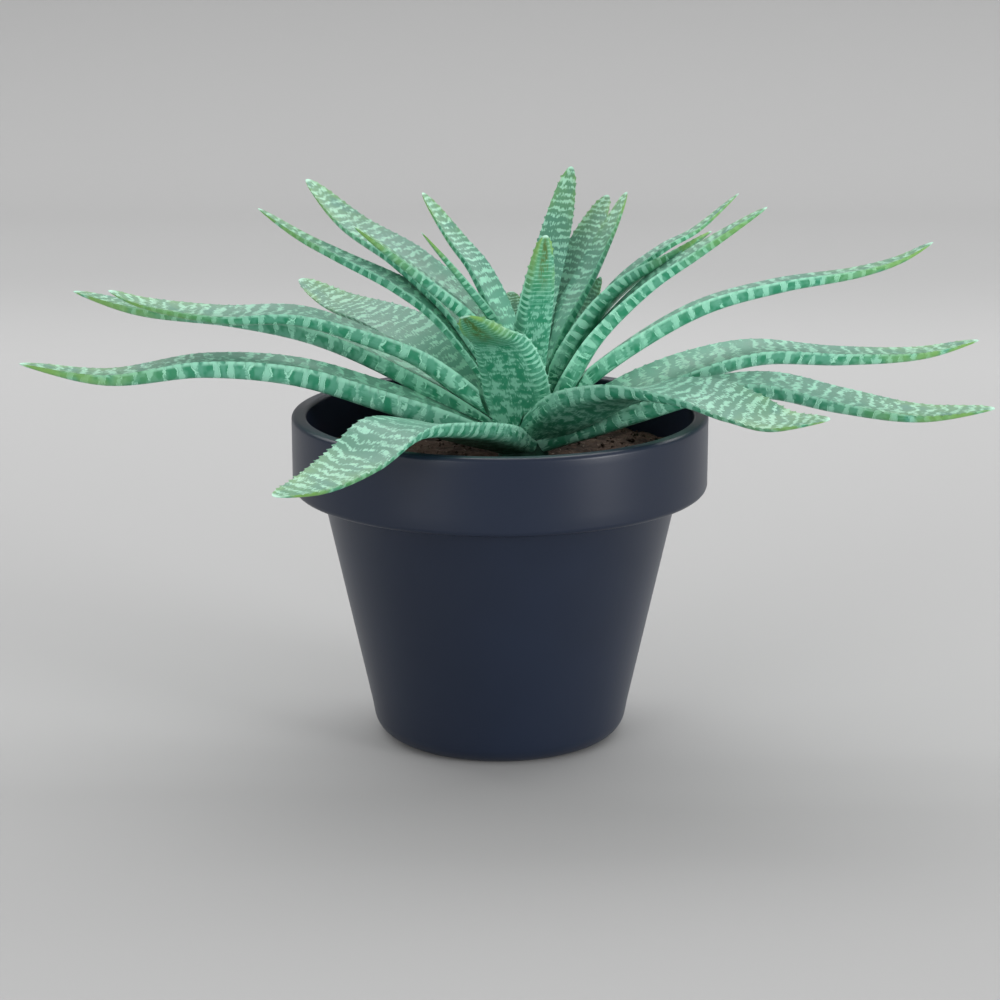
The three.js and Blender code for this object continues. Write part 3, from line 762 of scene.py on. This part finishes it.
class ALOE_OT_crown(bpy.types.Operator):
    """Build the crown that gathers the leaf bases, and the stem under it"""

    bl_idname = "aloe.crown"
    bl_label = "Crown"

    def execute(self, context):
        crown = mesh_object("fine_crown", *closed_surface(CROWN_PROFILE, CROWN_SEGMENTS, (PLANT_X, PLANT_Y)))
        dress(crown, stem_material(), "stem", "stem")
        return {"FINISHED"}


# Leaves


def catmull_rom(points, t):
    """Centripetal Catmull-Rom curve through points at t from 0 to 1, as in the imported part."""
    p = np.asarray(points, float)
    p = np.vstack([2 * p[0] - p[1], p, 2 * p[-1] - p[-2]])
    spans = len(points) - 1
    place = np.clip(np.asarray(t) * spans, 0, spans)
    k = np.minimum(place.astype(int), spans - 1)
    w = (place - k)[:, None]
    a, b, c, d = p[k], p[k + 1], p[k + 2], p[k + 3]

    def step(u, v):
        return np.sqrt(np.linalg.norm(v - u, axis=1))[:, None]

    before, within, after = step(a, b), step(b, c), step(c, d)
    m1 = ((b - a) / before - (c - a) / (before + within) + (c - b) / within) * within
    m2 = ((c - b) / within - (d - b) / (within + after) + (d - c) / after) * within
    w2, w3 = w * w, w * w * w
    return b + m1 * w + (3 * (c - b) - 2 * m1 - m2) * w2 + (2 * (b - c) + m1 + m2) * w3


class Spine:
    """A leaf's spine by share of its length, with its frame."""

    SAMPLES = 1600
    REACH = 0.6

    def __init__(self, leaf):
        angle = math.radians(leaf.azimuth)
        out = np.array([math.cos(angle), math.sin(angle), 0.0])
        self.side = np.array([-math.sin(angle), math.cos(angle), 0.0])
        self.roll = leaf.roll
        last = leaf.spine[-1][0]
        points = [np.array([PLANT_X, PLANT_Y, SOIL_TOP + height]) + out * reach
                  + self.side * leaf.sweep * (reach / last) ** 2 for reach, height in leaf.spine]
        self.points = catmull_rom(points, np.linspace(0, 1, self.SAMPLES + 1))
        steps = np.linalg.norm(np.diff(self.points, axis=0), axis=1)
        self.run = np.concatenate([[0.0], np.cumsum(steps)])
        self.length = self.run[-1]

    def place(self, run):
        return np.stack([np.interp(run, self.run, self.points[:, i]) for i in range(3)], 1)

    def at(self, shares):
        """Origin, along, across and up at each share."""
        shares = np.clip(shares, 0, 1)
        run = shares * self.length
        along = self.place(run + self.REACH) - self.place(run - self.REACH)
        along /= np.linalg.norm(along, axis=1)[:, None]
        across = self.side - along * (along @ self.side)[:, None]
        across /= np.linalg.norm(across, axis=1)[:, None]
        up = np.cross(along, across)
        roll = np.radians(lerp(self.roll[0], self.roll[1], smooth_step(TWIST_END, shares)))[:, None]
        return (self.place(run), along, across * np.cos(roll) - up * np.sin(roll),
                up * np.cos(roll) + across * np.sin(roll))


def half_width(leaf, s):
    flare = lerp(leaf.foot, 1.0, smooth_step(BASE_WIDTH_END, s))
    return 0.5 * leaf.width * flare * np.sqrt(np.maximum(1 - s ** OUTLINE_POWER, 0))


def thickness(leaf, s):
    swell = lerp(BASE_THICK_SHARE, 1.0, smooth_step(BASE_THICK_END, s))
    fall = 1 - THICKNESS_FALL * s ** THICKNESS_POWER
    return leaf.thickness * fall * swell * np.sqrt(np.maximum(1 - s ** TIP_POWER, 0))


# One tooth: offset along the margin in millimetres, how far it stands out, how far it leans on
TOOTH_SHAPE = [(-0.8, 0.0, 0.0), (-0.35, 0.5, 0.1), (0.1, 1.0, 0.5), (0.4, 0.35, 0.3), (0.7, 0.0, 0.0)]
TIP_SHARES = [0.982, 0.989, 0.994, 0.9975, 0.9993]


def tooth_rows(settings, length, rng):
    """Rows along the leaf: share, how far the left and right margins stand out, and their lean."""
    pitch = settings.tooth_pitch / MM
    rows = [(s, 0.0, 0.0, 0.0) for s in np.linspace(0, BARE_END, BARE_ROWS)]
    for margin in (0, 1):
        s = TOOTH_START + margin * MARGIN_OFFSET * pitch / length
        while s < TOOTH_END:
            height = rng.uniform(*HEIGHT_VARIES) * min(1.0, 0.25 + 4 * (s - TOOTH_START))
            for offset, rise, lean in TOOTH_SHAPE:
                stand = [0.0, 0.0]
                stand[margin] = rise * height
                rows.append((s + offset / length, *stand, lean * height))
            s += pitch * lerp(*PITCH_CHANGE, s) * rng.uniform(*PITCH_VARIES) / length
    rows += [(s, 0.0, 0.0, 0.0) for s in TIP_SHARES]
    rows = np.array(sorted(rows))
    # A row of one margin's tooth that falls inside the other's takes that one's outline as well
    for margin in (1, 2):
        known = (rows[:, margin] > 0) | (rows[:, 3 - margin] == 0)
        rows[:, margin] = np.interp(rows[:, 0], rows[known, 0], rows[known, margin])
    return rows


def leaf_rings(leaf, spine, shares, stand_out, lean, allowance=0.0):
    """Points of the leaf's skin, ring by ring, and moved outward by an allowance."""
    origin, along, across, up = spine.at(shares)
    half, thick = half_width(leaf, shares), thickness(leaf, shares)
    section = [(x, 0.5 - CHANNEL * (1 - x * x)) for x in UPPER_ACROSS] + UNDER_LINE[1:-1]
    clear = allowance + TOOTH_CLEARANCE * smooth_step(TOOTH_START, shares) if allowance else 0 * shares
    back = along * (np.where(shares == 0, -2 * allowance, 0.0))[:, None]
    rings = []
    for x, y in section:
        margin = 0 if x == 1.0 else 1 if x == -1.0 else None
        out = stand_out[:, margin] if margin is not None else 0 * shares
        reach = x * half + np.sign(x) * (out + clear)
        rise = y * thick + np.sign(y) * allowance
        rings.append(origin + back + across * reach[:, None] + up * rise[:, None]
                     + along * (lean * (out > 0))[:, None])
    return np.stack(rings, 1)


def tube_faces(count, lines):
    """Quads round a stack of rings, closed by a tip point and by a cap at the base."""
    faces = []
    for j in range(lines):
        n = (j + 1) % lines
        faces += [(i * lines + j, i * lines + n, (i + 1) * lines + n, (i + 1) * lines + j)
                  for i in range(count - 1)]
    last = (count - 1) * lines
    faces += [(last + j, last + (j + 1) % lines, count * lines) for j in range(lines)]
    faces.append(tuple(range(lines))[::-1])
    return faces


def section_coordinates():
    """For each line of a ring and the step to the next: zone and lateral place at both ends.

    The zone runs from -1 to 1 over the upper face and from 2 to 4 round the underside."""
    under = np.array(UNDER_LINE)
    walked = np.concatenate([[0.0], np.cumsum(np.linalg.norm(np.diff(under * [1, 0.6], axis=0), axis=1))])
    zones = 2 + 2 * walked / walked[-1]
    upper = [((a, a), (b, b)) for a, b in zip(UPPER_ACROSS, UPPER_ACROSS[1:])]
    lower = list(zip(zones, UNDER_SPREAD * walked / walked[-1] + UNDER_START))
    return upper + list(zip(lower, lower[1:]))


def leaf_maps(mesh, leaf, spine, shares, number, bands, tint):
    """UV maps of a leaf, which its material reads as plain numbers. Skin holds millimetres over 100, along
    the leaf and across a strip of even width, so that streaks run along it. Zone holds the place in the
    section and the share of the length, Count the number of bands passed over 10 and the leaf's own tint."""
    half = SKIN_WIDTH * leaf.width
    passed = bands * shares ** BAND_POWER
    steps = section_coordinates()
    count, lines = len(shares), len(steps)
    skin, zone, tally = [], [], []

    def add(row, at):
        skin.extend((at[1] * half / 100 + 1, shares[row] * spine.length / 100 + number * SKIN_SHIFT))
        zone.extend((at[0], shares[row]))
        tally.extend((passed[row] / 10 + number * COUNT_SHIFT, tint))

    for start, end in steps:
        for i in range(count - 1):
            for row, at in ((i, start), (i, end), (i + 1, end), (i + 1, start)):
                add(row, at)
    for start, end in steps:
        middle = ((start[0] + end[0]) / 2, (start[1] + end[1]) / 2)
        for at in (start, end, middle):
            add(count - 1, at)
    for _ in range(lines):
        add(0, BASE_CAP_PLACE)
    for label, values in (("Skin", skin), ("Zone", zone), ("Count", tally)):
        layer = mesh.uv_layers.new(name=label)
        layer.uv.foreach_set("vector", np.array(values, np.float32))


def leaf_object(name, spine, rings):
    """Closed skin through a leaf's rings, with its tip at the end of the spine."""
    points = rings.reshape(-1, 3).tolist() + spine.at(np.array([1.0]))[0].tolist()
    return mesh_object(name, points, tube_faces(*rings.shape[:2]))


def fine_leaf(name, leaf, number, settings, rng):
    spine = Spine(leaf)
    rows = tooth_rows(settings, spine.length, rng)
    shares = rows[:, 0]
    tooth = settings.tooth_height / MM * leaf.width / WIDEST_LEAF
    rings = leaf_rings(leaf, spine, shares, tooth * rows[:, 1:3], tooth * rows[:, 3])
    obj = leaf_object(name, spine, rings)
    leaf_maps(obj.data, leaf, spine, shares, number, settings.bands, rng.random())
    return obj


CUTTER_SHARES = np.concatenate([np.linspace(0, 0.94, 40), [0.97, 0.99, 0.998]])


def leaf_cutter(leaf):
    """The leaf without teeth and a gap larger all round."""
    spine = Spine(leaf)
    still = np.zeros((len(CUTTER_SHARES), 2))
    rings = leaf_rings(leaf, spine, CUTTER_SHARES, still, still[:, 0], LEAF_GAP)
    return leaf_object("leaf_cutter", spine, rings)


def crown_cutter():
    profile = [(0.05, SOIL_TOP - 10.0), (CROWN_PROFILE[2][0] + CROWN_GAP, SOIL_TOP - 10.0)]
    profile += [(radius + CROWN_GAP, z + CROWN_GAP) for radius, z in CROWN_PROFILE[2:]]
    return mesh_object("crown_cutter", *closed_surface(profile, CROWN_SEGMENTS, (PLANT_X, PLANT_Y)))


def mesh_tree(obj):
    return BVHTree.FromPolygons([v.co for v in obj.data.vertices], [p.vertices[:] for p in obj.data.polygons])


def cut_back(obj, cutters):
    """Take the cutters off the leaf, and keep its largest piece."""
    for cutter in cutters:
        cut = obj.modifiers.new("base", "BOOLEAN")
        cut.object = cutter
        cut.operation = "DIFFERENCE"
        cut.solver = "MANIFOLD"
    done = bpy.data.meshes.new_from_object(obj.evaluated_get(bpy.context.evaluated_depsgraph_get()))
    obj.modifiers.clear()
    obj.data = done
    keep_largest(done)


def keep_largest(mesh):
    bm = bmesh.new()
    bm.from_mesh(mesh)
    todo, pieces = set(bm.verts), []
    while todo:
        piece, front = set(), [todo.pop()]
        while front:
            vertex = front.pop()
            piece.add(vertex)
            for edge in vertex.link_edges:
                other = edge.other_vert(vertex)
                if other in todo:
                    todo.discard(other)
                    front.append(other)
        pieces.append(piece)
    pieces.sort(key=len)
    for piece in pieces[:-1]:
        bmesh.ops.delete(bm, geom=list(piece), context="VERTS")
    bm.to_mesh(mesh)
    bm.free()


class ALOE_OT_leaves(bpy.types.Operator):
    """Build every leaf with its teeth and bands, each cut back where another presses on its base"""

    bl_idname = "aloe.leaves"
    bl_label = "Leaves"

    def execute(self, context):
        settings = context.scene.aloe_leaves
        material = leaf_material(settings)
        leaves = []
        for number, leaf in enumerate(LEAVES, 1):
            rng = random.Random(settings.seed * 1000 + number)
            leaves.append(fine_leaf(f"fine_leaf_{number:02d}", leaf, number, settings, rng))
        cutters = [leaf_cutter(leaf) for leaf in LEAVES]
        crown = crown_cutter()
        skins, solids = [mesh_tree(obj) for obj in leaves], [mesh_tree(obj) for obj in cutters]

        def depth(i):
            """Front and low leaves come first, and the later ones are cut back for them."""
            return math.sin(math.radians(LEAVES[i].azimuth)) + INNER_YIELD * LEAVES[i].spine[0][1]

        order = sorted(range(len(LEAVES)), key=depth)
        for place, i in enumerate(order):
            in_front = [cutters[k] for k in order[:place] if solids[k].overlap(skins[i])]
            cut_back(leaves[i], [crown, *in_front])
            leaves[i].data.set_sharp_from_angle(angle=SHARP_ANGLE)
            dress(leaves[i], material, "leaf", f"leaf_{i + 1:02d}")
        for obj in (*cutters, crown):
            bpy.data.objects.remove(obj)
        return {"FINISHED"}


# Stage


def area_light(name, power, size, place, target):
    data = bpy.data.lights.new(name, "AREA")
    data.shape = "RECTANGLE"
    data.size, data.size_y = size
    data.energy = power
    lamp = bpy.data.objects.new(name, data)
    lamp.location = place
    bpy.context.scene.collection.objects.link(lamp)
    lamp.rotation_euler = (Vector(target) - Vector(place)).to_track_quat("-Z", "Y").to_euler()
    return lamp


class ALOE_OT_stage(bpy.types.Operator):
    """Build the floor, the backdrop, the lights and the camera"""

    bl_idname = "aloe.stage"
    bl_label = "Stage"

    def execute(self, context):
        settings = context.scene.aloe_stage
        scene = context.scene
        scene.view_settings.view_transform = "Standard"
        scene.view_settings.look = "None"
        line = [(PAPER_FRONT, 0.0), (PAPER_BACK, 0.0)]
        for degrees in PAPER_BEND_STEPS:
            a = math.radians(degrees)
            line.append((PAPER_BACK + PAPER_BEND * math.sin(a), PAPER_BEND * (1 - math.cos(a))))
        line.append((PAPER_BACK + PAPER_BEND, PAPER_TOP))
        points = [(x, y, z) for y, z in line for x in (-PAPER_HALF_WIDTH, PAPER_HALF_WIDTH)]
        faces = [(2 * i, 2 * i + 1, 2 * i + 3, 2 * i + 2) for i in range(len(line) - 1)]
        floor = mesh_object("floor", points, faces)
        floor.data.materials.append(floor_material(settings))

        world = bpy.data.worlds.new("even_light")
        world.use_nodes = True
        world.node_tree.nodes["Background"].inputs["Color"].default_value = (1, 1, 1, 1)
        world.node_tree.nodes["Background"].inputs["Strength"].default_value = settings.fill
        scene.world = world
        for name, (size, place, target) in LIGHTS.items():
            lamp = area_light(name, getattr(settings, name), size, place, target)

        camera_data = bpy.data.cameras.new("camera")
        camera_data.sensor_width = SENSOR_WIDTH
        camera_data.lens = FOCAL_PIXELS * SENSOR_WIDTH / IMAGE_SIDE
        camera_data.clip_start, camera_data.clip_end = CAMERA_REACH
        camera = bpy.data.objects.new("camera", camera_data)
        camera.location = CAMERA_PLACE
        camera.rotation_euler = (math.pi / 2 - CAMERA_DIP, 0.0, 0.0)
        scene.collection.objects.link(camera)
        scene.camera = camera
        return {"FINISHED"}


class VIEW3D_PT_aloe(bpy.types.Panel):
    bl_label = "Potted aloe"
    bl_idname = "VIEW3D_PT_aloe"
    bl_space_type = "VIEW_3D"
    bl_region_type = "UI"
    bl_category = "Aloe"

    def draw(self, context):
        scene = context.scene
        for operator, group, names in (
            ("aloe.pot", scene.aloe_pot, ("color", "roughness", "segments")),
            ("aloe.soil", scene.aloe_soil, ("color", "crumbs", "seed")),
            ("aloe.crown", None, ()),
            ("aloe.leaves", scene.aloe_leaves,
             ("tooth_height", "tooth_pitch", "bands", "mint", "green", "dark", "olive", "pale", "seed")),
            ("aloe.stage", scene.aloe_stage,
             ("floor", "backdrop", "overhead", "front_right", "front_left", "fill")),
        ):
            box = self.layout.box()
            box.operator(operator)
            for name in names:
                box.prop(group, name)


GROUPS = (
    ("aloe_pot", AloePotSettings),
    ("aloe_soil", AloeSoilSettings),
    ("aloe_leaves", AloeLeafSettings),
    ("aloe_stage", AloeStageSettings),
)
OPERATORS = (ALOE_OT_pot, ALOE_OT_soil, ALOE_OT_crown, ALOE_OT_leaves, ALOE_OT_stage)


def register():
    for name, group in GROUPS:
        bpy.utils.register_class(group)
        setattr(bpy.types.Scene, name, bpy.props.PointerProperty(type=group))
    for operator in OPERATORS:
        bpy.utils.register_class(operator)
    bpy.utils.register_class(VIEW3D_PT_aloe)


def unregister():
    bpy.utils.unregister_class(VIEW3D_PT_aloe)
    for operator in reversed(OPERATORS):
        bpy.utils.unregister_class(operator)
    for name, group in reversed(GROUPS):
        delattr(bpy.types.Scene, name)
        bpy.utils.unregister_class(group)


def main():
    register()
    bpy.ops.aloe.pot()
    bpy.ops.aloe.soil()
    bpy.ops.aloe.crown()
    bpy.ops.aloe.leaves()
    bpy.ops.aloe.stage()


if __name__ == "__main__":
    main()
